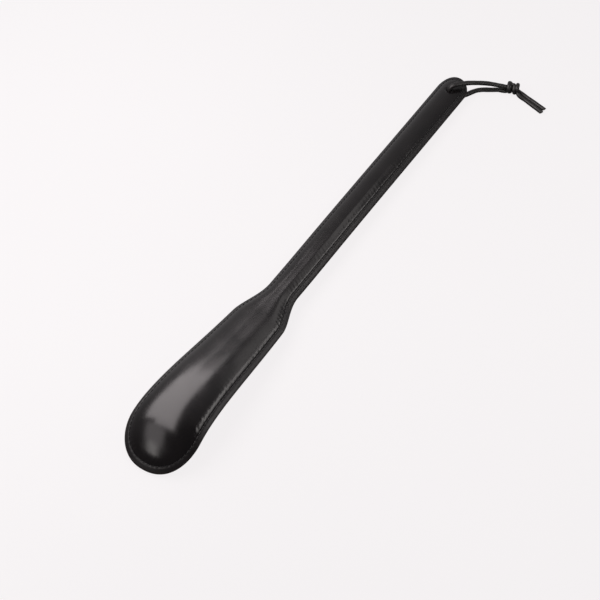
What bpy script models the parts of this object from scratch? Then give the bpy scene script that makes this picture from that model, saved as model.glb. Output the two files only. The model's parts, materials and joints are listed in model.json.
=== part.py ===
"""Long leather shoehorn with a hanging thong, lying face up on a flat surface.

Two leathers are sewn together round a stiff formed core. +X runs from the blade's tip to the
handle's end, +Z points out of the arched face, and the heel side is the hollow underneath.
The origin is under the middle of the shoehorn, on the surface that it lies on.
Lengths are in metres.
"""
import math

import bmesh
import bpy
import numpy as np
from mathutils import Matrix

# Outline of the middle surface, seen from above.
TIP_X = -0.1995
END_X = 0.2005
HANDLE_HALF_WIDTH = 0.0108
SHOULDER_HALF_WIDTH = 0.0188      # of the blade, where the neck ends
BLADE_TAPER = 0.057               # half-width gained per metre towards the tip
NECK_X = (-0.0380, -0.0700)       # the neck's handle end and its blade end
TIP_ROUND = (0.0275, 2.15)        # length and squareness of the rounded tip
END_ROUND = (0.0125, 2.10)        # the same for the handle's end

# Crown line: height of the middle surface along the centre line, at a few stations.
CROWN_X = (-0.1995, -0.1910, -0.1715, -0.1515, -0.1165, -0.0665, -0.0165, 0.0150, 0.1000, 0.1730, 0.2000)
CROWN_Z = (0.0010, 0.0100, 0.0226, 0.0253, 0.0216, 0.0149, 0.0125, 0.0122, 0.0106, 0.0090, 0.0085)
BLADE_SLOPE = math.radians(33.0)  # how steeply the cross-section falls away at its edges
HANDLE_SLOPE = math.radians(41.0)

# Layers, measured from the middle surface.
LEATHER = 0.0013
CORE_HALF = 0.0010
SEAM_GAP = 0.00015                # half of the gap between the two leathers at the seam
CORE_GAP = 0.0003
STITCH_INSET = 0.0033             # from the edge to the row of stitches
STEP_INSETS = (0.0041, 0.0057)    # where the leather climbs from the seam onto the core
CORE_INSET = 0.0060
THREAD_RADIUS = 0.0003
THREAD_GAP = 0.0003

# Mesh density.
CAP_STATIONS = 9
CROSS_CELLS = 7                   # odd and widest in the middle, which gives flat facets on the centre line
THREAD_SIDES = 6
HOLE_SIDES = 20

# Hanging hole and thong. The lace goes down through the hole; both halves meet in the knot.
HOLE_X = 0.1842
HOLE_RADIUS = 0.0020
PIVOT_HEIGHT = 0.0090
LACE_RADIUS = 0.00145
LACE_STEP = 0.0050
LOOP_ROUTE = ((0.2139, -0.0311, 0.0059), (0.2118, -0.0274, 0.0065), (0.2084, -0.0225, 0.0083),
              (0.2064, -0.0201, 0.0093), (0.2019, -0.0159, 0.0113), (0.1970, -0.0118, 0.0133),
              (0.1935, -0.0087, 0.0143), (0.1895, -0.0050, 0.0148), (0.1860, -0.0015, 0.0141),
              (0.1843, 0.0000, 0.0112), (0.1842, 0.0000, 0.0065), (0.1848, -0.0010, 0.0038),
              (0.1868, -0.0030, 0.0023), (0.1910, -0.0062, 0.0019), (0.1965, -0.0097, 0.0019),
              (0.2025, -0.0130, 0.0019), (0.2065, -0.0175, 0.0019), (0.2093, -0.0225, 0.0020),
              (0.2117, -0.0278, 0.0024), (0.2137, -0.0313, 0.0029))
KNOT_CENTRE = (0.2162, -0.0357, 0.0047)
KNOT_RADII = (0.0048, 0.0048, 0.0046)
KNOT_SIDES = (16, 10)
TAIL_ROUTES = {
    "thong_tail_outer": ((0.2160, -0.0413, 0.0038), (0.2157, -0.0470, 0.0022), (0.2147, -0.0526, 0.0015),
                         (0.2133, -0.0582, 0.0015), (0.2117, -0.0637, 0.0015)),
    "thong_tail_inner": ((0.2130, -0.0408, 0.0038), (0.2127, -0.0463, 0.0022), (0.2116, -0.0519, 0.0015),
                         (0.2099, -0.0577, 0.0015), (0.2079, -0.0636, 0.0015)),
}

MATERIALS = {
    "face_leather": ((0.012, 0.011, 0.012), 0.22, 0.0),
    "back_leather": ((0.012, 0.011, 0.012), 0.35, 0.0),
    "core": ((0.32, 0.33, 0.34), 0.38, 1.0),
    "thread": ((0.010, 0.010, 0.011), 0.60, 0.0),
    "thong": ((0.014, 0.013, 0.013), 0.50, 0.0),
}


def clear_scene():
    """Remove every object, so that the script starts from nothing."""
    for obj in list(bpy.data.objects):
        bpy.data.objects.remove(obj, do_unlink=True)


def material(name):
    """One Principled material, made from its row in MATERIALS."""
    colour, roughness, metallic = MATERIALS[name]
    mat = bpy.data.materials.get(name) or bpy.data.materials.new(name)
    mat.use_nodes = True
    shader = mat.node_tree.nodes["Principled BSDF"]
    shader.inputs["Base Color"].default_value = (*colour, 1.0)
    shader.inputs["Roughness"].default_value = roughness
    shader.inputs["Metallic"].default_value = metallic
    return mat


def smooth_step(t):
    """0 to 1 with level ends."""
    t = np.clip(t, 0.0, 1.0)
    return t * t * (3.0 - 2.0 * t)


def spline(stations, values, x):
    """Natural cubic spline through the stations: its second slopes solve one small linear system."""
    knots, heights = np.array(stations), np.array(values)
    count, gap = len(knots), np.diff(stations)
    system, target = np.eye(count), np.zeros(count)
    for i in range(1, count - 1):
        system[i, i - 1:i + 2] = gap[i - 1], 2.0 * (gap[i - 1] + gap[i]), gap[i]
        target[i] = 6.0 * ((heights[i + 1] - heights[i]) / gap[i] - (heights[i] - heights[i - 1]) / gap[i - 1])
    bend = np.linalg.solve(system, target)
    i = np.clip(np.searchsorted(knots, x) - 1, 0, count - 2)
    right, left, h = knots[i + 1] - x, x - knots[i], gap[i]
    return ((bend[i] * right ** 3 + bend[i + 1] * left ** 3) / (6.0 * h)
            + (heights[i] / h - bend[i] * h / 6.0) * right + (heights[i + 1] / h - bend[i + 1] * h / 6.0) * left)


def neck_blend(x):
    """0 on the handle, 1 on the blade."""
    return smooth_step((x - NECK_X[0]) / (NECK_X[1] - NECK_X[0]))


def plain_half_width(x):
    """Half-width without the rounded ends: a straight handle flaring into a slowly widening blade."""
    blade = SHOULDER_HALF_WIDTH + BLADE_TAPER * (NECK_X[1] - x)
    return HANDLE_HALF_WIDTH + (blade - HANDLE_HALF_WIDTH) * neck_blend(x)


def rounding(distance, shape):
    """Factor that closes the outline at an end, as a superellipse quarter."""
    length, power = shape
    t = np.clip(1.0 - distance / length, 0.0, 1.0)
    return (1.0 - t ** power) ** (1.0 / power)


def half_width(x):
    """Half-width of the outline at x."""
    return plain_half_width(x) * rounding(x - TIP_X, TIP_ROUND) * rounding(END_X - x, END_ROUND)


def middle_height(x, y):
    """Height of the middle surface: the crown line less the fall of a circular arc across."""
    slope = HANDLE_SLOPE + (BLADE_SLOPE - HANDLE_SLOPE) * neck_blend(x)
    radius = plain_half_width(x) / np.sin(slope)
    return spline(CROWN_X, CROWN_Z, x) - radius + np.sqrt(radius ** 2 - y ** 2)


def lift(x, y, offset):
    """Point on the surface that lies offset above the middle surface, along its normal."""
    d = 1e-5
    slope_x = (middle_height(x + d, y) - middle_height(x - d, y)) / (2.0 * d)
    slope_y = (middle_height(x, y + d) - middle_height(x, y - d)) / (2.0 * d)
    normal = np.stack([-slope_x, -slope_y, np.ones_like(slope_x)], axis=-1)
    normal /= np.linalg.norm(normal, axis=-1, keepdims=True)
    return np.stack([x, y, middle_height(x, y)], axis=-1) + normal * np.expand_dims(offset, -1)


def station_xs():
    """Stations along one side: close together in the rounded ends and the neck."""
    quarter = np.linspace(0.0, math.pi / 2.0, CAP_STATIONS)
    tip = TIP_X + TIP_ROUND[0] * (1.0 - np.cos(quarter))
    end = END_X - END_ROUND[0] * (1.0 - np.cos(quarter))[::-1]
    blade = np.linspace(tip[-1], NECK_X[1], 9)[1:]
    neck = np.linspace(NECK_X[1], NECK_X[0], 8)[1:]
    handle = np.linspace(NECK_X[0], end[0], 14)[1:-1]
    return np.concatenate([tip, blade, neck, handle, end])


def outline():
    """Points of the half outline with y >= 0, and the direction square to it, pointing inwards."""
    x = station_xs()
    y = half_width(x)
    y[0] = y[-1] = 0.0
    tangent = np.stack([np.gradient(x), np.gradient(y)], axis=-1)
    tangent[0], tangent[-1] = (0.0, 1.0), (0.0, -1.0)
    tangent /= np.linalg.norm(tangent, axis=-1, keepdims=True)
    return np.stack([x, y], axis=-1), np.stack([tangent[:, 1], -tangent[:, 0]], axis=-1)


def closed_ring(inset):
    """The whole outline moved inwards: up one side from the tip, and back along the other."""
    points, inward = outline()
    side = points + inward * inset
    mirrored = side[1:-1][::-1] * (1.0, -1.0)
    return np.concatenate([side, mirrored])


def sheet_points(insets, offsets):
    """Rings at the insets, then the cross-lines inside the last ring, all lifted by the offsets."""
    rings = [lift(*closed_ring(inset).T, np.full(2 * len(station_xs()) - 2, offset))
             for inset, offset in zip(insets, offsets)]
    inner = closed_ring(insets[-1])
    count = len(station_xs())
    left = inner[1:count - 1]
    cross = []
    for k in range(1, CROSS_CELLS):
        y = left[:, 1] * math.cos(math.pi * k / CROSS_CELLS)
        cross.append(lift(left[:, 0], y, np.full(count - 2, offsets[-1])))
    return np.concatenate(rings + cross)


def sheet_faces(ring_count, start):
    """Faces of one sheet, facing up, for points laid out by sheet_points from index start."""
    count = len(station_xs())
    around = 2 * count - 2
    faces = []
    for j in range(ring_count - 1):
        for i in range(around):
            n = (i + 1) % around
            faces.append([start + j * around + i, start + (j + 1) * around + i,
                          start + (j + 1) * around + n, start + j * around + n])
    last = start + (ring_count - 1) * around
    cross = start + ring_count * around

    def column(k, i):
        if i in (0, count - 1):
            return last + i
        if k == 0:
            return last + i
        if k == CROSS_CELLS:
            return last + (around - i) % around
        return cross + (k - 1) * (count - 2) + i - 1

    for i in range(count - 1):
        for k in range(CROSS_CELLS):
            corners = [column(k, i), column(k + 1, i), column(k + 1, i + 1), column(k, i + 1)]
            faces.append(list(dict.fromkeys(corners)))
    return faces


def add_mesh(name, points, faces, slot):
    """Mesh object with its place in its mesh, its faces turned outwards."""
    mesh = bpy.data.meshes.new(name)
    mesh.from_pydata([tuple(p) for p in points], [], faces)
    obj = bpy.data.objects.new(name, mesh)
    bpy.context.scene.collection.objects.link(obj)
    bm = bmesh.new()
    bm.from_mesh(mesh)
    bmesh.ops.recalc_face_normals(bm, faces=bm.faces)
    bmesh.ops.triangulate(bm, faces=bm.faces)
    bm.to_mesh(mesh)
    bm.free()
    mesh.materials.append(material(slot))
    mesh.shade_smooth()
    mesh.set_sharp_from_angle(angle=math.radians(35.0))
    return obj


def layer(name, insets, upper, lower, slot):
    """A sheet of the sandwich: an upper and a lower skin joined round the edge."""
    top = sheet_points(insets, upper)
    bottom = sheet_points(insets, lower)
    around = 2 * len(station_xs()) - 2
    faces = sheet_faces(len(insets), 0)
    faces += [face[::-1] for face in sheet_faces(len(insets), len(top))]
    for i in range(around):
        n = (i + 1) % around
        faces.append([i, n, len(top) + n, len(top) + i])
    return add_mesh(name, np.concatenate([top, bottom]), faces, slot)


def make_leathers():
    """Face and back leather: close together at the seam, apart over the core."""
    insets = (0.0, STEP_INSETS[0], STEP_INSETS[1])
    near = np.array((SEAM_GAP, SEAM_GAP, CORE_HALF + CORE_GAP))
    face = layer("face_leather", insets, near + LEATHER, near, "face_leather")
    back = layer("back_leather", insets, -near, -near - LEATHER, "back_leather")
    return face, back


def make_core():
    """Stiff formed strip between the leathers, inside the row of stitches."""
    return layer("core_blank", (CORE_INSET,), (CORE_HALF,), (-CORE_HALF,), "core")


def make_thread(name, side):
    """One thread of the lockstitch as a plain closed tube lying over the row of stitches."""
    path = closed_ring(STITCH_INSET)
    level = SEAM_GAP + LEATHER + THREAD_GAP + THREAD_RADIUS
    centres = lift(*path.T, np.full(len(path), side * level))
    up = lift(*path.T, np.full(len(path), side * level + 1e-4)) - centres
    up /= np.linalg.norm(up, axis=-1, keepdims=True)
    along = np.roll(centres, -1, axis=0) - np.roll(centres, 1, axis=0)
    across = np.cross(along, up)
    across /= np.linalg.norm(across, axis=-1, keepdims=True)
    angles = 2.0 * math.pi * np.arange(THREAD_SIDES) / THREAD_SIDES
    points = (centres[:, None] + THREAD_RADIUS * (np.cos(angles)[None, :, None] * across[:, None]
                                                  + np.sin(angles)[None, :, None] * up[:, None]))
    faces = []
    for i in range(len(path)):
        n = (i + 1) % len(path)
        for j in range(THREAD_SIDES):
            m = (j + 1) % THREAD_SIDES
            faces.append([i * THREAD_SIDES + j, n * THREAD_SIDES + j, n * THREAD_SIDES + m, i * THREAD_SIDES + m])
    return add_mesh(name, points.reshape(-1, 3), faces, "thread")


def punch_hole(obj, cutter):
    """Cut the hanging hole through one layer."""
    cut = obj.modifiers.new("hanging_hole", "BOOLEAN")
    cut.operation = "DIFFERENCE"
    cut.solver = "EXACT"
    cut.object = cutter


def make_hole_cutter():
    """Upright cylinder that punches the hanging hole; it is not part of the shoehorn."""
    bm = bmesh.new()
    bmesh.ops.create_cone(bm, cap_ends=True, segments=HOLE_SIDES, radius1=HOLE_RADIUS,
                          radius2=HOLE_RADIUS, depth=0.04)
    bmesh.ops.translate(bm, verts=bm.verts, vec=(HOLE_X, 0.0, 0.010))
    mesh = bpy.data.meshes.new("hole_cutter")
    bm.to_mesh(mesh)
    bm.free()
    cutter = bpy.data.objects.new("hole_cutter", mesh)
    bpy.context.scene.collection.objects.link(cutter)
    cutter.hide_render = True
    cutter.display_type = "WIRE"
    return cutter


def smooth_route(route, step):
    """Points every step or so along a smooth curve through the route's own points."""
    points = np.array(route)
    lengths = np.concatenate([[0.0], np.cumsum(np.linalg.norm(np.diff(points, axis=0), axis=1))])
    fine = np.linspace(0.0, lengths[-1], 400)
    curve = np.stack([spline(lengths, points[:, axis], fine) for axis in range(3)], axis=-1)
    run = np.concatenate([[0.0], np.cumsum(np.linalg.norm(np.diff(curve, axis=0), axis=1))])
    marks = np.linspace(0.0, run[-1], max(2, round(run[-1] / step)) + 1)
    return np.stack([np.interp(marks, run, curve[:, axis]) for axis in range(3)], axis=-1)


def make_lace(name, points):
    """Round lace along the points, with filled ends."""
    curve = bpy.data.curves.new(name, "CURVE")
    curve.dimensions = "3D"
    curve.bevel_depth = LACE_RADIUS
    curve.bevel_resolution = 2
    curve.use_fill_caps = True
    path = curve.splines.new("POLY")
    path.points.add(len(points) - 1)
    for node, point in zip(path.points, points):
        node.co = (*point, 1.0)
    curve.materials.append(material("thong"))
    obj = bpy.data.objects.new(name, curve)
    bpy.context.scene.collection.objects.link(obj)
    return obj


def make_knot():
    """The overhand knot as one plain closed solid of its outer shape."""
    bm = bmesh.new()
    bmesh.ops.create_uvsphere(bm, u_segments=KNOT_SIDES[0], v_segments=KNOT_SIDES[1], radius=1.0)
    bmesh.ops.scale(bm, verts=bm.verts, vec=KNOT_RADII)
    bmesh.ops.translate(bm, verts=bm.verts, vec=KNOT_CENTRE)
    mesh = bpy.data.meshes.new("thong_knot")
    bm.to_mesh(mesh)
    bm.free()
    mesh.materials.append(material("thong"))
    mesh.shade_smooth()
    obj = bpy.data.objects.new("thong_knot", mesh)
    bpy.context.scene.collection.objects.link(obj)
    return obj


def make_thong():
    """Loop, knot and two tails, carried by an empty on the hole's axis, about which they swing."""
    pivot = bpy.data.objects.new("thong_pivot", None)
    pivot.location = (HOLE_X, 0.0, PIVOT_HEIGHT)
    bpy.context.scene.collection.objects.link(pivot)
    pieces = [make_lace("thong_loop", smooth_route(LOOP_ROUTE, LACE_STEP)), make_knot()]
    pieces += [make_lace(name, smooth_route(route, LACE_STEP)) for name, route in TAIL_ROUTES.items()]
    for piece in pieces:
        piece.parent = pivot
        piece.matrix_parent_inverse = Matrix.Translation(-pivot.location)


clear_scene()
hole_cutter = make_hole_cutter()
for leather in make_leathers():
    punch_hole(leather, hole_cutter)
punch_hole(make_core(), hole_cutter)
make_thread("needle_thread", 1.0)
make_thread("bobbin_thread", -1.0)
make_thong()
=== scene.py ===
"""A long leather shoehorn with a hanging thong, lying arched side up on a pale lit table.

Two black calf leathers are glued and sewn together round a formed strip of spring steel, and a
leather lace is knotted through a hole in the handle's end. +X runs from the blade's tip to the
handle's end, +Z points out of the arched face. Lengths are in metres.
"""
import json
import math

import bmesh
import bpy
import numpy as np
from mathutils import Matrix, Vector


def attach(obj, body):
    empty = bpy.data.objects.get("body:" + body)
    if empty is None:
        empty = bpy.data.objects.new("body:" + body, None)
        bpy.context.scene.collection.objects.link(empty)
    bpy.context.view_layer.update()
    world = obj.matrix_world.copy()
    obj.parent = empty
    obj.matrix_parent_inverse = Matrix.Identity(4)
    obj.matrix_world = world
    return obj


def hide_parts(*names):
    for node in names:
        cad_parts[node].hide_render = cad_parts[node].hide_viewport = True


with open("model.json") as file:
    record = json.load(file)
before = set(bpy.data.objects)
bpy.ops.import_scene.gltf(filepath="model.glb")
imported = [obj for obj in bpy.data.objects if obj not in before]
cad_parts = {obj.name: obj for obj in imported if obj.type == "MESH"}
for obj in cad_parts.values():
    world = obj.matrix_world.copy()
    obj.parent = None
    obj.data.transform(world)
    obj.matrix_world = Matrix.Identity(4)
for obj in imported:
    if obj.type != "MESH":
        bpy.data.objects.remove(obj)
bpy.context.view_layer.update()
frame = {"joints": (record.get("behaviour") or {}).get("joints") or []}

# Outline of the middle surface, seen from above, and its crown line.
TIP_X = -0.1995
END_X = 0.2005
HANDLE_HALF_WIDTH = 0.0108
SHOULDER_HALF_WIDTH = 0.0188
BLADE_TAPER = 0.057
NECK_X = (-0.0380, -0.0700)
TIP_ROUND = (0.0275, 2.15)
END_ROUND = (0.0125, 2.10)
CROWN_X = (-0.1995, -0.1910, -0.1715, -0.1515, -0.1165, -0.0665, -0.0165, 0.0150, 0.1000, 0.1730, 0.2000)
CROWN_Z = (0.0010, 0.0100, 0.0226, 0.0253, 0.0216, 0.0149, 0.0125, 0.0122, 0.0106, 0.0090, 0.0085)
BLADE_SLOPE = math.radians(33.0)
HANDLE_SLOPE = math.radians(41.0)

# Layers, measured from the middle surface.
LEATHER = 0.0013
CORE_HALF = 0.0010
SEAM_GAP = 0.00015
CORE_GAP = 0.0003
STITCH_INSET = 0.0033
FLESH_STEP = (0.0039, 0.0063)     # insets between which a leather's flesh side steps over the core
OUTER_RISE = (0.0036, 0.0092)     # insets between which a leather's outer side rises over the core
OUTER_FULL = 0.0022               # its height there above the middle surface
EDGE_FALL = 0.00022               # how much thinner each leather is worked at the edge
CORE_INSET = 0.0060
CORE_MARGIN = 0.0012              # width of the core's flat ring inside its rounded edge

# Sewing.
STITCH_PITCH = 0.0034
STATIONS_PER_STITCH = 6
THREAD_RADIUS = 0.00034
RINGS_PER_STITCH = 12
THREAD_SIDES = 8
STITCH_LEAN = 0.00012             # how far a stitch leans across the seam to each side
STITCH_LOCK = 0.00030             # height of the lock inside the leather
GROOVE = (0.00032, 0.00080)       # depth and half-width of the channel that the stitches lie in
PUCKER_HEIGHT = 0.00007
PUCKER_INSET = 0.0050
PUCKER_REACH = 0.0036
PUCKER_LEAN = 0.0050              # across the seam, for one stitch along it
STITCH_TOP = SEAM_GAP + LEATHER - 0.85 * GROOVE[0] + 0.60 * THREAD_RADIUS

# Rings of the leathers and the core, from the edge inwards.
EDGE_RADIUS = 0.0009
EDGE_RINGS = 6
CORE_EDGE = 0.0004
CORE_EDGE_RINGS = 5
MARGIN_RINGS = (0.0013, 0.0018, 0.0022, 0.0025, 0.0028, 0.0031, 0.0034, 0.0037, 0.0040, 0.0043, 0.0047,
                0.0051, 0.0055, 0.0059, 0.0063, 0.0068, 0.0074, 0.0081)
FLESH_RINGS = (0.0, 0.0038, 0.0044, 0.0050, 0.0056, 0.0064)
CROSSINGS = 12                    # rings from the margin to the centre line
UNEVEN = 0.000030                 # height of the slow waves in the glued leather
HOLE_DIP = (0.00035, 0.0013)      # how far and how wide the leather is pressed down round the hole

# Hanging hole and thong. From the hole, the front half goes over the handle's end and the rear half under it.
HOLE = tuple(frame["joints"][0]["pos_m"])
HOLE_RADIUS = 0.0020
HOLE_SPREAD = (0.0045, 0.0058)    # reach of the points that go round the hole, and of those eased along
LACE_STEP = 0.0006
LACE_SIDES = 24
LACE_EASING = 10                  # times that a route's points are averaged with their neighbours
FLAT_LACE = (0.00192, 0.00148)    # half-width and half-thickness between the hole and the knot
ROLLED_LACE = (0.00150, 0.00144)  # and in the tails, where it is rolled rounder
ROLLING = (-0.014, 0.006)         # stretch over which it turns rounder, from the knot's middle
CAP_RINGS = ((0.90, 0.10), (0.45, 0.12))  # width and height of the rings that close a cut end
CAP_HEIGHT = 0.08
FRONT_ROUTE = ((0.1842, 0.0000, 0.0088), (0.1843, 0.0000, 0.0112), (0.1860, -0.0015, 0.0141),
               (0.1895, -0.0050, 0.0148), (0.1935, -0.0087, 0.0143), (0.1970, -0.0118, 0.0133),
               (0.2019, -0.0159, 0.0113), (0.2064, -0.0201, 0.0093), (0.2084, -0.0225, 0.0083),
               (0.2118, -0.0274, 0.0065), (0.2137, -0.0308, 0.0056))
REAR_ROUTE = ((0.1842, 0.0000, 0.0086), (0.1842, 0.0000, 0.0065), (0.1848, -0.0010, 0.0038),
              (0.1868, -0.0030, 0.0022), (0.1910, -0.0062, 0.0017), (0.1965, -0.0097, 0.0017),
              (0.2025, -0.0130, 0.0017), (0.2065, -0.0175, 0.0017), (0.2093, -0.0225, 0.0018),
              (0.2117, -0.0278, 0.0024))
OUTER_TAIL = ((0.2160, -0.0420, 0.0036), (0.2157, -0.0470, 0.0022), (0.2147, -0.0526, 0.0016),
              (0.2133, -0.0582, 0.0015), (0.2117, -0.0637, 0.0015))
INNER_TAIL = ((0.2131, -0.0420, 0.0034), (0.2127, -0.0463, 0.0022), (0.2116, -0.0519, 0.0016),
              (0.2099, -0.0577, 0.0015), (0.2079, -0.0636, 0.0015))
KNOT_CENTRE = (0.2162, -0.0357, 0.0048)
KNOT_AXIS = (0.233, -0.972)       # from the strands' side to the tails' side, seen from above
HEADING = (0.7, -0.7, 0.0)        # way that the strands leave the handle
KNOT_TURNS = (250.0, 665.0)       # start and end of one strand's turn round the other
KNOT_SPAN = (0.0036, 0.0012)      # where that turn starts and ends, out from the knot's middle
KNOT_HALF = (0.0037, 0.0029)      # half-width and half-height of the turn
KNOT_POINTS = 11

# View and studio. Angles in degrees; a lamp is name, place, turn, size, radiance and colour.
VIEW_AZIMUTH = 32.06
VIEW_TILT = 39.75
VIEW_DISTANCE = 1.274
VIEW_FIELD = 0.39756
VIEW_CENTRE = (-0.0321, -0.0089, 0.0)
FLOOR_SIZE = 12.0
FLOOR_TINT = "#F9F6F7"
FLOOR_CLOUD = "#FAF7F8"
FLOOR_GLOW = 0.91
FLOOR_ALBEDO = 0.05
SURROUND = (0.10, 0.55)           # radiance behind the camera and ahead of it
SURROUND_TINT = "#F2EFF0"
LAMPS = (
    ("overhead_softbox_near", (-0.0650, 0.130, 0.30), 5.5, (0.47, 0.19), 4.2, "#FFF7F8"),
    ("overhead_softbox_far", (-0.0200, 0.300, 0.30), 5.5, (0.50, 0.19), 4.2, "#FFF7F8"),
    ("fill_softbox", (-0.42, 0.19, 0.30), 0.0, (0.20, 0.24), 1.7, "#FFF7F8"),
    ("tip_softbox", (-0.62, 0.19, 0.30), 0.0, (0.26, 0.14), 3.7, "#FFFAF8"),
    ("side_strip", (0.14, -0.310, 0.30), 0.0, (0.52, 0.110), 3.6, "#FFFAF8"),
    ("side_glow", (0.245, -0.110, 0.30), 0.0, (0.11, 0.22), 1.1, "#FFFAF8"),
)


def smooth_step(t):
    """0 to 1 with level ends: t squared times (3 - 2t)."""
    t = np.clip(t, 0.0, 1.0)
    return t * t * (3.0 - 2.0 * t)


def bump(t, width):
    """1 at t = 0, falling smoothly to 0 at plus and minus width: the square of (1 - (t / width)^2)."""
    return np.clip(1.0 - (t / width) ** 2, 0.0, 1.0) ** 2


def spline(stations, values, x):
    """Natural cubic spline through the stations: its second slopes solve one small linear system."""
    knots, heights = np.array(stations), np.array(values)
    count, gap = len(knots), np.diff(stations)
    system, target = np.eye(count), np.zeros(count)
    for i in range(1, count - 1):
        system[i, i - 1:i + 2] = gap[i - 1], 2.0 * (gap[i - 1] + gap[i]), gap[i]
        target[i] = 6.0 * ((heights[i + 1] - heights[i]) / gap[i]
                           - (heights[i] - heights[i - 1]) / gap[i - 1])
    bend = np.linalg.solve(system, target)
    i = np.clip(np.searchsorted(knots, x) - 1, 0, count - 2)
    right, left, h = knots[i + 1] - x, x - knots[i], gap[i]
    return ((bend[i] * right ** 3 + bend[i + 1] * left ** 3) / (6.0 * h)
            + (heights[i] / h - bend[i] * h / 6.0) * right
            + (heights[i + 1] / h - bend[i + 1] * h / 6.0) * left)


def neck_blend(x):
    """0 on the handle, 1 on the blade."""
    return smooth_step((x - NECK_X[0]) / (NECK_X[1] - NECK_X[0]))


def plain_half_width(x):
    """Half-width without the rounded ends: a straight handle flaring into a slowly widening blade."""
    blade = SHOULDER_HALF_WIDTH + BLADE_TAPER * (NECK_X[1] - x)
    return HANDLE_HALF_WIDTH + (blade - HANDLE_HALF_WIDTH) * neck_blend(x)


def rounding(distance, shape):
    """Factor that closes the outline at an end, as a superellipse quarter: (1 - t^p)^(1/p)."""
    length, power = shape
    t = np.clip(1.0 - distance / length, 0.0, 1.0)
    return (1.0 - t ** power) ** (1.0 / power)


def half_width(x):
    """Half-width of the outline at x."""
    return plain_half_width(x) * rounding(x - TIP_X, TIP_ROUND) * rounding(END_X - x, END_ROUND)


def middle_height(x, y):
    """Height of the middle surface: the crown line less the fall of a circular arc across."""
    slope = HANDLE_SLOPE + (BLADE_SLOPE - HANDLE_SLOPE) * neck_blend(x)
    radius = plain_half_width(x) / np.sin(slope)
    return spline(CROWN_X, CROWN_Z, x) - radius + np.sqrt(radius ** 2 - y ** 2)


def surface_normal(x, y):
    """Unit normal of the middle surface, from its slopes along x and y."""
    d = 1e-5
    slope_x = (middle_height(x + d, y) - middle_height(x - d, y)) / (2.0 * d)
    slope_y = (middle_height(x, y + d) - middle_height(x, y - d)) / (2.0 * d)
    normal = np.stack([-slope_x, -slope_y, np.ones_like(slope_x)], axis=-1)
    return normal / np.linalg.norm(normal, axis=-1, keepdims=True)


def lift(xy, offset):
    """Point on the surface that lies offset above the middle surface, along its normal."""
    x, y = xy[..., 0], xy[..., 1]
    base = np.stack([x, y, middle_height(x, y)], axis=-1)
    return base + surface_normal(x, y) * np.expand_dims(offset, -1)


def half_outline():
    """Half outline with y >= 0, from the tip to the handle's end, as a fine row of points.

    The ends step evenly in the superellipse's angle, the sides evenly in x.
    """
    turn = np.linspace(0.0, math.pi / 2.0, 400)
    tip = TIP_X + TIP_ROUND[0] * (1.0 - np.cos(turn) ** (2.0 / TIP_ROUND[1]))
    end = END_X - END_ROUND[0] * (1.0 - np.cos(turn) ** (2.0 / END_ROUND[1]))[::-1]
    x = np.concatenate([tip, np.linspace(tip[-1], end[0], 1200)[1:-1], end])
    return np.stack([x, half_width(x)], axis=-1)


def arc_length(points):
    """Running length along a row of points, from 0."""
    return np.concatenate([[0.0], np.cumsum(np.linalg.norm(np.diff(points, axis=0), axis=1))])


def resample(points, count):
    """The same line as count points evenly spaced along its length."""
    run = arc_length(points)
    marks = np.linspace(0.0, run[-1], count)
    return np.stack([np.interp(marks, run, column) for column in points.T], axis=-1)


STITCHES = round(2.0 * arc_length(half_outline())[-1] / STITCH_PITCH / 2.0) * 2
AROUND = STITCHES * STATIONS_PER_STITCH


def outline_ring():
    """The whole outline as AROUND points, and at each one the direction pointing inwards."""
    side = resample(half_outline(), AROUND // 2 + 1)
    ring = np.concatenate([side, side[1:-1][::-1] * (1.0, -1.0)])
    along = np.roll(ring, -1, axis=0) - np.roll(ring, 1, axis=0)
    along /= np.linalg.norm(along, axis=-1, keepdims=True)
    return ring, np.stack([along[:, 1], -along[:, 0]], axis=-1)


RING, INWARD = outline_ring()
SIDE = np.where(np.arange(AROUND) <= AROUND // 2, 1.0, -1.0)
SPINE_X = (TIP_X + TIP_ROUND[0] * 0.80, END_X - 0.0104)


def centre_line(x):
    """Where the rings close: the centre line, opened into a circle round the hanging hole.

    Within the spread the points step round the circle by even angles; just past it they ease back
    to their own x. Returns the points and a mask of those that lie on the circle.
    """
    gap = x - HOLE[0]
    near, far = HOLE_SPREAD
    angle = 0.5 * math.pi * (1.0 + np.clip(gap / near, -1.0, 1.0))
    eased = np.sign(gap) * (HOLE_RADIUS + (far - HOLE_RADIUS) * (np.abs(gap) - near) / (far - near))
    on_circle = np.abs(gap) < near
    across = np.where(on_circle, -HOLE_RADIUS * np.cos(angle), np.where(np.abs(gap) < far, eased, gap))
    side = np.where(on_circle, SIDE * HOLE_RADIUS * np.sin(angle), 0.0)
    return np.stack([HOLE[0] + across, side], axis=-1), on_circle


def grid_in(insets, crossings):
    """Rings at the insets, moved straight in from the outline, then rings that close on the centre line.

    Returns the points (rings, AROUND, 2), each one's distance from the edge, and the hole's mask.
    """
    inner = RING + INWARD * insets[-1]
    foot, on_circle = centre_line(np.clip(inner[:, 0], *SPINE_X))
    shares = np.linspace(0.0, 1.0, crossings + 1)[1:]
    rings = [RING + INWARD * inset for inset in insets]
    rings += [inner + (foot - inner) * share for share in shares]
    grid = np.stack(rings)
    inset = np.concatenate([np.repeat(np.array(insets)[:, None], AROUND, axis=1),
                            np.linalg.norm(grid[len(insets):] - RING, axis=-1)])
    return grid, inset, on_circle


def sheet_offset(inset, near, far):
    """Offset of a leather's flesh side from the middle surface: near at the seam, far over the core."""
    start, end = FLESH_STEP
    return near + (far - near) * smooth_step((inset - start) / (end - start))


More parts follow.
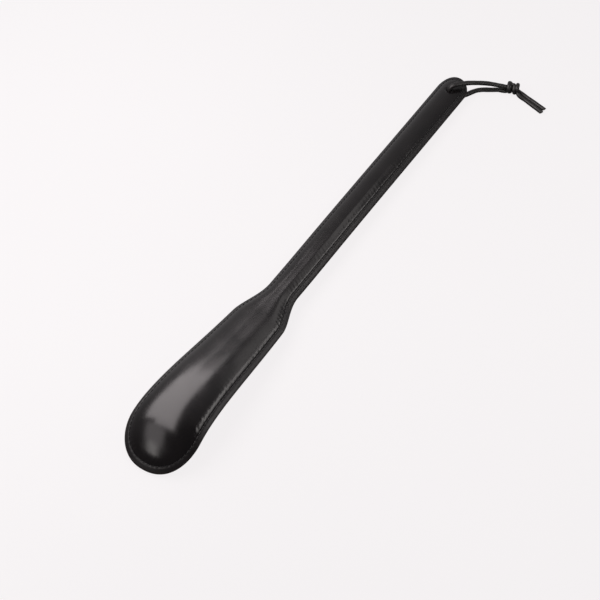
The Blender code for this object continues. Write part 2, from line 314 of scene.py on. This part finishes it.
def puckers(grid, inset, side):
    """Tension wrinkles beside the stitches: slanted ripples, one to each stitch, that fade inwards.

    The height is a sum of cosines along the seam, of one and two stitch pitches, times a window
    across the step and a slow change of strength along the seam.
    """
    phase = 2.0 * math.pi * np.arange(AROUND) / STATIONS_PER_STITCH
    lean = 2.0 * math.pi * (inset - STITCH_INSET) / PUCKER_LEAN
    ripple = 0.6 * np.cos(phase + lean) + 0.4 * np.cos(0.5 * phase + 0.8 * lean + 1.0)
    strength = 0.55 + 0.30 * np.sin(grid[..., 0] * 190.0 + side) + 0.15 * np.sin(grid[..., 0] * 67.0)
    return PUCKER_HEIGHT * ripple * bump(inset - PUCKER_INSET, PUCKER_REACH) * strength


def hand_worked(grid, side):
    """Slight unevenness of glued and pressed leather: three slow slanted waves, a few centimetres long."""
    x, y = grid[..., 0], grid[..., 1]
    return UNEVEN * (np.sin(155.0 * x + 90.0 * y + side) + 0.7 * np.sin(243.0 * x - 130.0 * y + 2.0)
                     + 0.5 * np.sin(95.0 * x + 260.0 * y + 4.0 * side))


def outer_offset(grid, inset, side):
    """Height profile of a leather's outer side above the middle surface.

    It rises over the core by 1 - (1 - s)^2, steepest at the seam, with s the share of the way in, less
    the groove of the stitches, with puckers and slow unevenness, pressed down a little round the hole.
    """
    left = 1.0 - np.clip((inset - OUTER_RISE[0]) / (OUTER_RISE[1] - OUTER_RISE[0]), 0.0, 1.0)
    profile = OUTER_FULL - (OUTER_FULL - SEAM_GAP - LEATHER) * left ** 2
    profile -= EDGE_FALL * smooth_step(1.0 - inset / OUTER_RISE[0])
    pull = 0.62 + 0.38 * np.cos(2.0 * math.pi * np.arange(AROUND) / STATIONS_PER_STITCH)
    groove = GROOVE[0] * pull * bump(inset - STITCH_INSET, GROOVE[1])
    from_hole = np.linalg.norm(grid - np.array(HOLE[:2]), axis=-1) - HOLE_RADIUS
    dip = HOLE_DIP[0] * bump(from_hole, HOLE_DIP[1])
    inside = smooth_step((inset - EDGE_RADIUS) / 0.002)
    return profile - groove - dip + puckers(grid, inset, side) + inside * hand_worked(grid, side)


def ring_faces(rings, around, start=0):
    """Quads between neighbouring closed rings of around points, stored ring after ring."""
    j, i = np.meshgrid(np.arange(rings - 1), np.arange(around), indexing="ij")
    n = (i + 1) % around
    quads = np.stack([j * around + i, (j + 1) * around + i, (j + 1) * around + n, j * around + n], axis=-1)
    return quads.reshape(-1, 4) + start


def add_piece(name, points, faces, body, slot, mat, weld=False, **attributes):
    """A mesh piece riding on a body, with float attributes per point; its slot is not used."""
    mesh = bpy.data.meshes.new(name)
    mesh.from_pydata(points, [], faces)
    for key, values in attributes.items():
        layer = mesh.attributes.new(key, "FLOAT", "POINT")
        layer.data.foreach_set("value", np.asarray(values, np.float32).ravel())
    if weld:
        shape = bmesh.new()
        shape.from_mesh(mesh)
        bmesh.ops.remove_doubles(shape, verts=shape.verts, dist=2e-6)
        shape.to_mesh(mesh)
        shape.free()
    mesh.materials.append(mat)
    mesh.polygons.foreach_set("use_smooth", np.ones(len(mesh.polygons), bool))
    mesh.update()
    obj = bpy.data.objects.new(name, mesh)
    bpy.context.scene.collection.objects.link(obj)
    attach(obj, body)
    return obj


def shell(outer, inner, outer_inset, inner_inset, on_circle, side):
    """Closed sheet between an outer and an inner skin of rings, with walls at the edge and in the hole.

    Returns its points, its faces and each point's distance from the edge.
    """
    start = outer.shape[0] * AROUND
    i = np.arange(AROUND)
    n = (i + 1) % AROUND
    edge = np.stack([i, n, start + n, start + i], axis=-1)
    last_outer = (outer.shape[0] - 1) * AROUND
    last_inner = start + (inner.shape[0] - 1) * AROUND
    wall = np.stack([last_outer + n, last_outer + i, last_inner + i, last_inner + n], axis=-1)
    faces = np.concatenate([ring_faces(outer.shape[0], AROUND),
                            ring_faces(inner.shape[0], AROUND, start)[:, ::-1],
                            edge, wall[on_circle | on_circle[n]]])
    if side < 0:
        faces = faces[:, ::-1]
    points = np.concatenate([outer.reshape(-1, 3), inner.reshape(-1, 3)])
    return points, faces, np.concatenate([outer_inset.ravel(), inner_inset.ravel()])


def leather(name, side, slot, mat, replaced):
    """One leather of the pair: outer grain side, rounded cut edge, inner flesh side and hole."""
    turn = np.linspace(0.0, 0.5 * math.pi, EDGE_RINGS)
    corner = EDGE_RADIUS * (1.0 - np.cos(turn))
    insets = np.concatenate([corner, MARGIN_RINGS])
    grid, inset, on_circle = grid_in(insets, CROSSINGS)
    offset = outer_offset(grid, inset, side)
    offset[:EDGE_RINGS] -= EDGE_RADIUS * (1.0 - np.sin(turn))[:, None]
    outer = lift(grid, side * offset)
    flesh_grid, flesh_inset, _ = grid_in(np.array(FLESH_RINGS), CROSSINGS)
    flesh = lift(flesh_grid, side * sheet_offset(flesh_inset, SEAM_GAP, CORE_HALF + CORE_GAP))
    points, faces, depth = shell(outer, flesh, inset, flesh_inset, on_circle, side)
    obj = add_piece(name, points, faces, "shoehorn", slot, mat, weld=True, inset_mm=depth * 1000.0)
    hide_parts(replaced)


def core_strip(mat):
    """Formed strip of spring steel between the leathers, with slightly rounded edges."""
    turn = np.linspace(0.0, 0.5 * math.pi, CORE_EDGE_RINGS)
    insets = np.concatenate([CORE_INSET + CORE_EDGE * (1.0 - np.cos(turn)), [CORE_INSET + CORE_MARGIN]])
    grid, inset, on_circle = grid_in(insets, CROSSINGS)
    half = np.full(inset.shape, CORE_HALF)
    half[:CORE_EDGE_RINGS] -= CORE_EDGE * (1.0 - np.sin(turn))[:, None]
    points, faces, _ = shell(lift(grid, half), lift(grid, -half), inset, inset, on_circle, 1.0)
    obj = add_piece("steel_core", points, faces, "shoehorn", "core", mat, weld=True)
    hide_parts("core_blank")


def sweep(path, half, sides, closed=False, cut=(0.0, 0.0), facing=(0.3, 0.2, 1.0)):
    """An oval section carried along a path, with rounded-over flat ends unless it is closed.

    The section's frame is carried from point to point with no twist, and starts across facing. half
    holds the section's half-width and half-thickness for each path point; cut leans the two end faces,
    as a knife held askew does. Returns points, faces, each point's run along the path and its turn
    round the section, and whether it is on a cut face.
    """
    path = np.asarray(path)
    count = len(path)
    if closed:
        along = np.roll(path, -1, axis=0) - np.roll(path, 1, axis=0)
    else:
        along = np.gradient(path, axis=0)
    along /= np.linalg.norm(along, axis=-1, keepdims=True)
    across = np.empty_like(path)
    guess = np.cross(along[0], facing)
    for i in range(count):
        guess = guess - along[i] * np.dot(guess, along[i])
        guess /= np.linalg.norm(guess)
        across[i] = guess
    up = np.cross(along, across)
    turn = 2.0 * math.pi * np.arange(sides) / sides
    ring_x, ring_y = half[:, :1] * np.cos(turn), half[:, 1:] * np.sin(turn)
    points = path[:, None] + ring_x[..., None] * across[:, None] + ring_y[..., None] * up[:, None]
    run = np.repeat(arc_length(path)[:, None], sides, axis=1)
    around = np.repeat((turn / (2.0 * math.pi))[None], count, axis=0)
    if closed:
        faces = ring_faces(count, sides)
        joint = ring_faces(2, sides)
        joint = np.where(joint >= sides, joint - sides, joint + (count - 1) * sides)
        return points.reshape(-1, 3), np.concatenate([faces, joint])[:, ::-1].tolist(), run, around, None
    lead = np.stack([points[0] - along[0] * (cut[0] * ring_x[0])[:, None]])
    tail = np.stack([points[-1] + along[-1] * (cut[1] * ring_x[-1])[:, None]])
    points = np.concatenate([lead, points[1:-1], tail])
    caps, cap_faces, cut_mark = [], [], [np.zeros(count * sides)]
    faces = ring_faces(count, sides)[:, ::-1].tolist()
    total = count * sides
    for end, base, sign in ((lead[0], 0, -1.0), (tail[0], (count - 1) * sides, 1.0)):
        middle = end.mean(axis=0)
        direction = sign * along[0 if sign < 0 else -1]
        rings = [middle + (end - middle) * width + direction * height * half[0, 1]
                 for width, height in CAP_RINGS]
        first, second, hub = total, total + sides, total + 2 * sides
        i = np.arange(sides)
        n = (i + 1) % sides
        quads = np.concatenate([np.stack([base + i, first + i, first + n, base + n], axis=-1),
                                np.stack([first + i, second + i, second + n, first + n], axis=-1)])
        fan = np.stack([second + i, np.full(sides, hub), second + n], axis=-1)
        if sign > 0:
            quads, fan = quads[:, ::-1], fan[:, ::-1]
        cap_faces += quads.tolist() + fan.tolist()
        caps += [*rings, (middle + direction * CAP_HEIGHT * half[0, 1])[None]]
        cut_mark += [np.ones(2 * sides + 1)]
        total += 2 * sides + 1
    points = np.concatenate([points.reshape(-1, 3), *caps])
    ends = [np.zeros(2 * sides + 1), np.full(2 * sides + 1, run[-1, 0])]
    turns = [np.concatenate([around[0], around[0], [0.0]])] * 2
    return (points, faces + cap_faces, np.concatenate([run.ravel(), *ends]),
            np.concatenate([around.ravel(), *turns]), np.concatenate(cut_mark))


def stitch_row(name, side, mat, replaced):
    """One thread of the lockstitch: a twisted thread that dives through a needle hole at every pitch.

    Along each stitch the centre's height is 1 - |2f - 1|^4 between the lock inside the leather and the
    top, with f the share of the pitch; each stitch leans a little across the seam.
    """
    count = STITCHES * RINGS_PER_STITCH
    step = np.arange(count) / RINGS_PER_STITCH
    f = step % 1.0
    at = step * STATIONS_PER_STITCH
    low = np.floor(at).astype(int) % AROUND
    share = (at - np.floor(at))[:, None]
    edge = RING[low] * (1.0 - share) + RING[(low + 1) % AROUND] * share
    inward = INWARD[low] * (1.0 - share) + INWARD[(low + 1) % AROUND] * share
    inset = STITCH_INSET - side * STITCH_LEAN * np.sin(2.0 * math.pi * (f - 0.25))
    arch = 1.0 - np.abs(2.0 * f - 1.0) ** 4
    path = lift(edge + inward * inset[:, None], side * (STITCH_LOCK + (STITCH_TOP - STITCH_LOCK) * arch))
    radius = THREAD_RADIUS * (0.90 + 0.10 * arch)
    points, faces, run, turn, _ = sweep(path, np.stack([radius, radius], axis=-1), THREAD_SIDES, closed=True)
    obj = add_piece(name, points, faces, "shoehorn", "thread", mat, run_mm=run * 1000.0, turn=turn)
    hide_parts(replaced)


def smooth_route(route, step):
    """Points every step or so along a smooth curve through the route's own points.

    Each point is then averaged a few times with its neighbours, which eases the tight bends of the knot.
    """
    points = np.array(route)
    run = arc_length(points)
    fine = np.linspace(0.0, run[-1], 1500)
    curve = np.stack([spline(run, points[:, axis], fine) for axis in range(3)], axis=-1)
    curve = resample(curve, max(2, round(arc_length(curve)[-1] / step)) + 1)
    for _ in range(LACE_EASING):
        curve[1:-1] = (curve[:-2] + 2.0 * curve[1:-1] + curve[2:]) / 4.0
    return curve


def knot_points(along, across, up):
    """Points of the knot's own frame (along its axis, across it, up) in the row frame."""
    a = np.array([*KNOT_AXIS, 0.0])
    b = np.array([-KNOT_AXIS[1], KNOT_AXIS[0], 0.0])
    z = np.array([0.0, 0.0, 1.0])
    return (np.array(KNOT_CENTRE) + np.multiply.outer(along, a) + np.multiply.outer(across, b)
            + np.multiply.outer(up, z))


def knot_turn(start):
    """One strand's turn round the other: an ellipse across the knot's axis that moves along it."""
    share = np.linspace(0.0, 1.0, KNOT_POINTS)
    angle = np.radians(start + (KNOT_TURNS[1] - KNOT_TURNS[0]) * share)
    along = KNOT_SPAN[0] + (KNOT_SPAN[1] - KNOT_SPAN[0]) * share
    return along, KNOT_HALF[0] * np.cos(angle), KNOT_HALF[1] * np.sin(angle)


def front_path():
    """The front half runs through the knot's first turn, winds the second and leaves as the outer tail."""
    through = knot_points((-0.0028, -0.0008), (-0.0006, 0.0010), (0.0006, 0.0022))
    along, across, up = knot_turn(85.0)
    wound = knot_points(KNOT_SPAN[0] + KNOT_SPAN[1] - along, across, up)
    return smooth_route((*FRONT_ROUTE, *through, *wound, *OUTER_TAIL), LACE_STEP)


def rear_path():
    """The rear half winds the knot's first turn, runs through the second and leaves as the inner tail."""
    along, across, up = knot_turn(KNOT_TURNS[0])
    wound = knot_points(-along, across, up)
    through = knot_points((0.0010, 0.0030), (0.0002, -0.0010), (-0.0006, -0.0006))
    return smooth_route((*REAR_ROUTE, *wound, *through, *INNER_TAIL), LACE_STEP)


def lace_half(name, path, mat, replaced, lean):
    """Half of the thong, from the hole to its cut tail.

    Its section is an oval that lies flat between the hole and the knot and is rolled rounder past it,
    and it wavers by a few percent along its length, as hand-cut lace does.
    """
    run = arc_length(path)
    to_knot = run[np.argmin(np.linalg.norm(path - np.array(KNOT_CENTRE), axis=1))]
    rolled = smooth_step((run - to_knot - ROLLING[0]) / (ROLLING[1] - ROLLING[0]))[:, None]
    section = np.array(FLAT_LACE) * (1.0 - rolled) + np.array(ROLLED_LACE) * rolled
    section *= 1.0 + 0.025 * np.sin(run * 420.0 + lean)[:, None] + 0.015 * np.sin(run * 1130.0)[:, None]
    points, faces, along, turn, cut = sweep(path, section, LACE_SIDES, cut=(0.0, lean), facing=HEADING)
    obj = add_piece(name, points, faces, "thong", "thong", mat, run_mm=along * 1000.0, turn=turn, cut=cut)
    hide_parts(*replaced)


def linear(colour):
    """Linear RGBA of an sRGB hex colour."""
    parts = [int(colour[i:i + 2], 16) / 255.0 for i in (1, 3, 5)]
    return (*[c / 12.92 if c <= 0.04045 else ((c + 0.055) / 1.055) ** 2.4 for c in parts], 1.0)


def add_node(tree, kind, settings=None, **links):
    """Adds a node of that kind; settings go on its properties, links on its inputs.

    A link is a socket to join or a plain value. Input names are written with _ for a space, and
    an input that has no name of its own is given as input_0, input_1 and so on.
    """
    node = tree.nodes.new("ShaderNode" + kind)
    for key, value in (settings or {}).items():
        setattr(node, key, value)
    for key, value in links.items():
        place = int(key[6:]) if key.startswith("input_") else key.replace("_", " ")
        socket = node.inputs[place]
        if isinstance(value, bpy.types.NodeSocket):
            tree.links.new(value, socket)
        else:
            socket.default_value = value
    return node


def new_material(name):
    """An empty node material with its Principled shader and tree."""
    mat = bpy.data.materials.new(name)
    mat.use_nodes = True
    return mat, mat.node_tree, mat.node_tree.nodes["Principled BSDF"]


def ramp(tree, factor, *stops):
    """Colour ramp through (position, hex colour) stops."""
    node = add_node(tree, "ValToRGB", input_0=factor)
    elements = node.color_ramp.elements
    while len(elements) < len(stops):
        elements.new(0.5)
    for element, (position, colour) in zip(elements, stops):
        element.position = position
        element.color = linear(colour)
    return node.outputs["Color"]


def calf_leather(name, roughness, grain_height):
    """Black calf, chrome-tanned, drum-dyed and glazed: a fine pored grain under a thin clear finish.

    The dye is all but black with a trace of warm brown, thinner over the worn edge; the grain is a
    net of shallow creases about 0.9 mm apart, coarser than the real 0.3 mm so that it shows.
    """
    mat, tree, shader = new_material(name)
    place = add_node(tree, "TexCoord").outputs["Object"]
    inset = add_node(tree, "Attribute", {"attribute_name": "inset_mm"}).outputs["Fac"]
    pores = add_node(tree, "TexVoronoi", {"feature": "DISTANCE_TO_EDGE"}, Vector=place, Scale=1100.0)
    creases = add_node(tree, "TexNoise", Vector=place, Scale=260.0, Detail=4.0, Roughness=0.55)
    smears = add_node(tree, "TexNoise", Vector=place, Scale=70.0, Detail=3.0, Roughness=0.6)
    edge = add_node(tree, "MapRange", Value=inset, From_Min=0.15, From_Max=1.1, To_Min=1.0, To_Max=0.0)
    fibres = add_node(tree, "Math", {"operation": "MULTIPLY"}, input_0=edge.outputs[0],
                      input_1=smears.outputs["Fac"])
    dye = ramp(tree, smears.outputs["Fac"], (0.30, "#0C0A0B"), (0.70, "#110E0F"))
    worn = add_node(tree, "Mix", {"data_type": "RGBA"}, input_0=fibres.outputs[0], input_6=dye,
                    input_7=linear("#2E2521"))
    tree.links.new(worn.outputs[2], shader.inputs["Base Color"])
    gloss = add_node(tree, "MapRange", Value=smears.outputs["Fac"], From_Min=0.3, From_Max=0.7,
                     To_Min=roughness - 0.03, To_Max=roughness + 0.04)
    margin = add_node(tree, "MapRange", Value=inset, From_Min=2.6, From_Max=3.8, To_Min=1.0, To_Max=0.0)
    dull = add_node(tree, "Math", {"operation": "MULTIPLY_ADD"}, input_0=margin.outputs[0], input_1=0.20,
                    input_2=gloss.outputs[0])
    tree.links.new(dull.outputs[0], shader.inputs["Roughness"])
    pore_depth = add_node(tree, "MapRange", Value=pores.outputs["Distance"], From_Min=0.0, From_Max=0.16)
    coarse = add_node(tree, "Bump", Height=creases.outputs["Fac"], Strength=0.35, Distance=grain_height * 3.0)
    fine = add_node(tree, "Bump", Height=pore_depth.outputs[0], Strength=0.6, Distance=grain_height,
                    Normal=coarse.outputs[0])
    tree.links.new(fine.outputs[0], shader.inputs["Normal"])
    shader.inputs["IOR"].default_value = 1.5
    return mat


def spring_steel():
    """Cold-rolled spring steel strip: a dull grey metal with fine rolling lines along its length."""
    mat, tree, shader = new_material("spring_steel")
    place = add_node(tree, "TexCoord").outputs["Object"]
    stretched = add_node(tree, "Mapping", Vector=place, Scale=(20.0, 2500.0, 2500.0))
    lines = add_node(tree, "TexNoise", Vector=stretched.outputs[0], Scale=1.0, Detail=3.0)
    grey = ramp(tree, lines.outputs["Fac"], (0.35, "#7E8083"), (0.65, "#9A9C9F"))
    tree.links.new(grey, shader.inputs["Base Color"])
    rolled = add_node(tree, "MapRange", Value=lines.outputs["Fac"], To_Min=0.28, To_Max=0.42)
    tree.links.new(rolled.outputs[0], shader.inputs["Roughness"])
    shader.inputs["Metallic"].default_value = 1.0
    return mat


def waxed_thread():
    """Waxed black polyester thread: three plies laid together, one full twist in 1.6 mm."""
    mat, tree, shader = new_material("waxed_polyester_thread")
    run = add_node(tree, "Attribute", {"attribute_name": "run_mm"}).outputs["Fac"]
    turn = add_node(tree, "Attribute", {"attribute_name": "turn"}).outputs["Fac"]
    lay = add_node(tree, "Math", {"operation": "MULTIPLY"}, input_0=turn, input_1=3.0)
    helix = add_node(tree, "Math", {"operation": "MULTIPLY_ADD"}, input_0=run, input_1=3.0 / 1.6,
                     input_2=lay.outputs[0])
    angle = add_node(tree, "Math", {"operation": "MULTIPLY"}, input_0=helix.outputs[0],
                     input_1=2.0 * math.pi)
    plies = add_node(tree, "Math", {"operation": "COSINE"}, input_0=angle.outputs[0])
    height = add_node(tree, "MapRange", Value=plies.outputs[0], From_Min=-1.0, From_Max=1.0)
    # The thread's colour is darker in the grooves between the plies and lighter on their crowns, following
    # the ply relief: painted shade in the grooves.
    colour = ramp(tree, height.outputs[0], (0.0, "#060606"), (1.0, "#141314"))
    tree.links.new(colour, shader.inputs["Base Color"])
    ridges = add_node(tree, "Bump", Height=height.outputs[0], Strength=0.8, Distance=0.00008)
    tree.links.new(ridges.outputs[0], shader.inputs["Normal"])
    shader.inputs["Roughness"].default_value = 0.42
    return mat


def lace_leather():
    """Cut calf lace, dyed black and waxed: matt-satin, creased along its length, grey at the cuts."""
    mat, tree, shader = new_material("waxed_leather_lace")
    place = add_node(tree, "TexCoord").outputs["Object"]
    run = add_node(tree, "Attribute", {"attribute_name": "run_mm"}).outputs["Fac"]
    turn = add_node(tree, "Attribute", {"attribute_name": "turn"}).outputs["Fac"]
    cut = add_node(tree, "Attribute", {"attribute_name": "cut"}).outputs["Fac"]
    spread = add_node(tree, "Math", {"operation": "MULTIPLY"}, input_0=turn, input_1=2.0 * math.pi)
    x = add_node(tree, "Math", {"operation": "COSINE"}, input_0=spread.outputs[0])
    y = add_node(tree, "Math", {"operation": "SINE"}, input_0=spread.outputs[0])
    drawn = add_node(tree, "Math", {"operation": "MULTIPLY"}, input_0=run, input_1=0.25)
    skin = add_node(tree, "CombineXYZ", X=x.outputs[0], Y=y.outputs[0], Z=drawn.outputs[0])
    creases = add_node(tree, "TexNoise", Vector=skin.outputs[0], Scale=2.6, Detail=5.0, Roughness=0.6)
    fibres = add_node(tree, "TexNoise", Vector=place, Scale=2400.0, Detail=2.0)
    # The black dye is darker in the hollows of the creases and lighter on their crests, following the crease
    # relief: painted shade over the real black dye.
    dye = ramp(tree, creases.outputs["Fac"], (0.35, "#0D0C0C"), (0.70, "#1B1918"))
    split = ramp(tree, fibres.outputs["Fac"], (0.35, "#2A2725"), (0.70, "#4A4541"))
    colour = add_node(tree, "Mix", {"data_type": "RGBA"}, input_0=cut, input_6=dye, input_7=split)
    tree.links.new(colour.outputs[2], shader.inputs["Base Color"])
    satin = add_node(tree, "MapRange", Value=creases.outputs["Fac"], From_Min=0.3, From_Max=0.7,
                     To_Min=0.38, To_Max=0.52)
    tree.links.new(satin.outputs[0], shader.inputs["Roughness"])
    relief = add_node(tree, "Bump", Height=creases.outputs["Fac"], Strength=0.6, Distance=0.00012)
    nap = add_node(tree, "Bump", Height=fibres.outputs["Fac"], Strength=0.2, Distance=0.00003,
                   Normal=relief.outputs[0])
    tree.links.new(nap.outputs[0], shader.inputs["Normal"])
    return mat


def backlit_acrylic():
    """White acrylic of a light table: an even glow with a little of the lamps' light on top."""
    mat, tree, shader = new_material("backlit_white_acrylic")
    place = add_node(tree, "TexCoord").outputs["Object"]
    cloud = add_node(tree, "TexNoise", Vector=place, Scale=3.0, Detail=1.0)
    colour = ramp(tree, cloud.outputs["Fac"], (0.3, FLOOR_TINT), (0.7, FLOOR_CLOUD))
    tree.links.new(colour, shader.inputs["Emission Color"])
    shader.inputs["Emission Strength"].default_value = FLOOR_GLOW
    shader.inputs["Base Color"].default_value = (FLOOR_ALBEDO, FLOOR_ALBEDO, FLOOR_ALBEDO, 1.0)
    shader.inputs["Roughness"].default_value = 0.9
    shader.inputs["Specular IOR Level"].default_value = 0.0
    return mat


def aim(obj, place, target):
    """Puts the camera at place, looking at target with the row's +Z upwards in its picture."""
    direction = Vector(target) - Vector(place)
    obj.location = place
    obj.rotation_euler = direction.to_track_quat("-Z", "Y").to_euler()


def add_camera():
    """Camera off the handle's left side, seen from the tip: it looks down at the whole length."""
    azimuth, tilt = math.radians(VIEW_AZIMUTH), math.radians(VIEW_TILT)
    away = Vector((math.cos(azimuth) * math.sin(tilt), math.sin(azimuth) * math.sin(tilt), -math.cos(tilt)))
    camera = bpy.data.cameras.new("camera")
    camera.sensor_width = 36.0
    camera.lens = camera.sensor_width * VIEW_DISTANCE / VIEW_FIELD
    camera.clip_end = 20.0
    obj = bpy.data.objects.new("camera", camera)
    bpy.context.scene.collection.objects.link(obj)
    aim(obj, Vector(VIEW_CENTRE) - away * VIEW_DISTANCE, VIEW_CENTRE)
    bpy.context.scene.camera = obj


def add_lamp(name, place, turn, size, radiance, colour):
    """A soft box facing straight down; its power is its radiance times pi times its area."""
    lamp = bpy.data.lights.new(name, "AREA")
    lamp.shape = "RECTANGLE"
    lamp.size, lamp.size_y = size
    lamp.energy = radiance * math.pi * size[0] * size[1]
    lamp.color = linear(colour)[:3]
    obj = bpy.data.objects.new(name, lamp)
    bpy.context.scene.collection.objects.link(obj)
    obj.visible_camera = False
    obj.location = place
    obj.rotation_euler.z = math.radians(turn)


def add_studio():
    """Pale floor, soft boxes and a dim surround that is brighter ahead of the camera."""
    floor = bpy.data.meshes.new("floor")
    half = FLOOR_SIZE / 2.0
    floor.from_pydata([(-half, -half, 0.0), (half, -half, 0.0), (half, half, 0.0), (-half, half, 0.0)], [],
                      [(0, 1, 2, 3)])
    floor.materials.append(backlit_acrylic())
    obj = bpy.data.objects.new("floor", floor)
    bpy.context.scene.collection.objects.link(obj)
    obj.visible_glossy = False
    for lamp in LAMPS:
        add_lamp(*lamp)
    world = bpy.data.worlds.new("studio")
    bpy.context.scene.world = world
    world.use_nodes = True
    tree = world.node_tree
    azimuth = math.radians(VIEW_AZIMUTH)
    direction = add_node(tree, "TexCoord").outputs["Generated"]
    ahead = add_node(tree, "VectorMath", {"operation": "DOT_PRODUCT"}, input_0=direction,
                     input_1=(math.cos(azimuth), math.sin(azimuth), 0.0))
    glow = add_node(tree, "MapRange", Value=ahead.outputs["Value"], From_Min=-0.2, From_Max=1.0,
                    To_Min=SURROUND[0], To_Max=SURROUND[1])
    tree.links.new(glow.outputs[0], tree.nodes["Background"].inputs["Strength"])
    tree.nodes["Background"].inputs["Color"].default_value = linear(SURROUND_TINT)
    bpy.context.scene.view_settings.view_transform = "Standard"


add_camera()
lace = lace_leather()
lace_half("thong_front_half", front_path(), lace, ("thong_loop", "thong_tail_outer"), 0.55)
lace_half("thong_rear_half", rear_path(), lace, ("thong_knot", "thong_tail_inner"), -0.45)
leather("face_cover", 1.0, "face_leather", calf_leather("glazed_black_calf", 0.20, 0.000006),
        "face_leather")
leather("back_cover", -1.0, "back_leather", calf_leather("satin_black_calf", 0.34, 0.000030),
        "back_leather")
core_strip(spring_steel())
thread = waxed_thread()
stitch_row("face_stitches", 1.0, thread, "needle_thread")
stitch_row("back_stitches", -1.0, thread, "bobbin_thread")
add_studio()
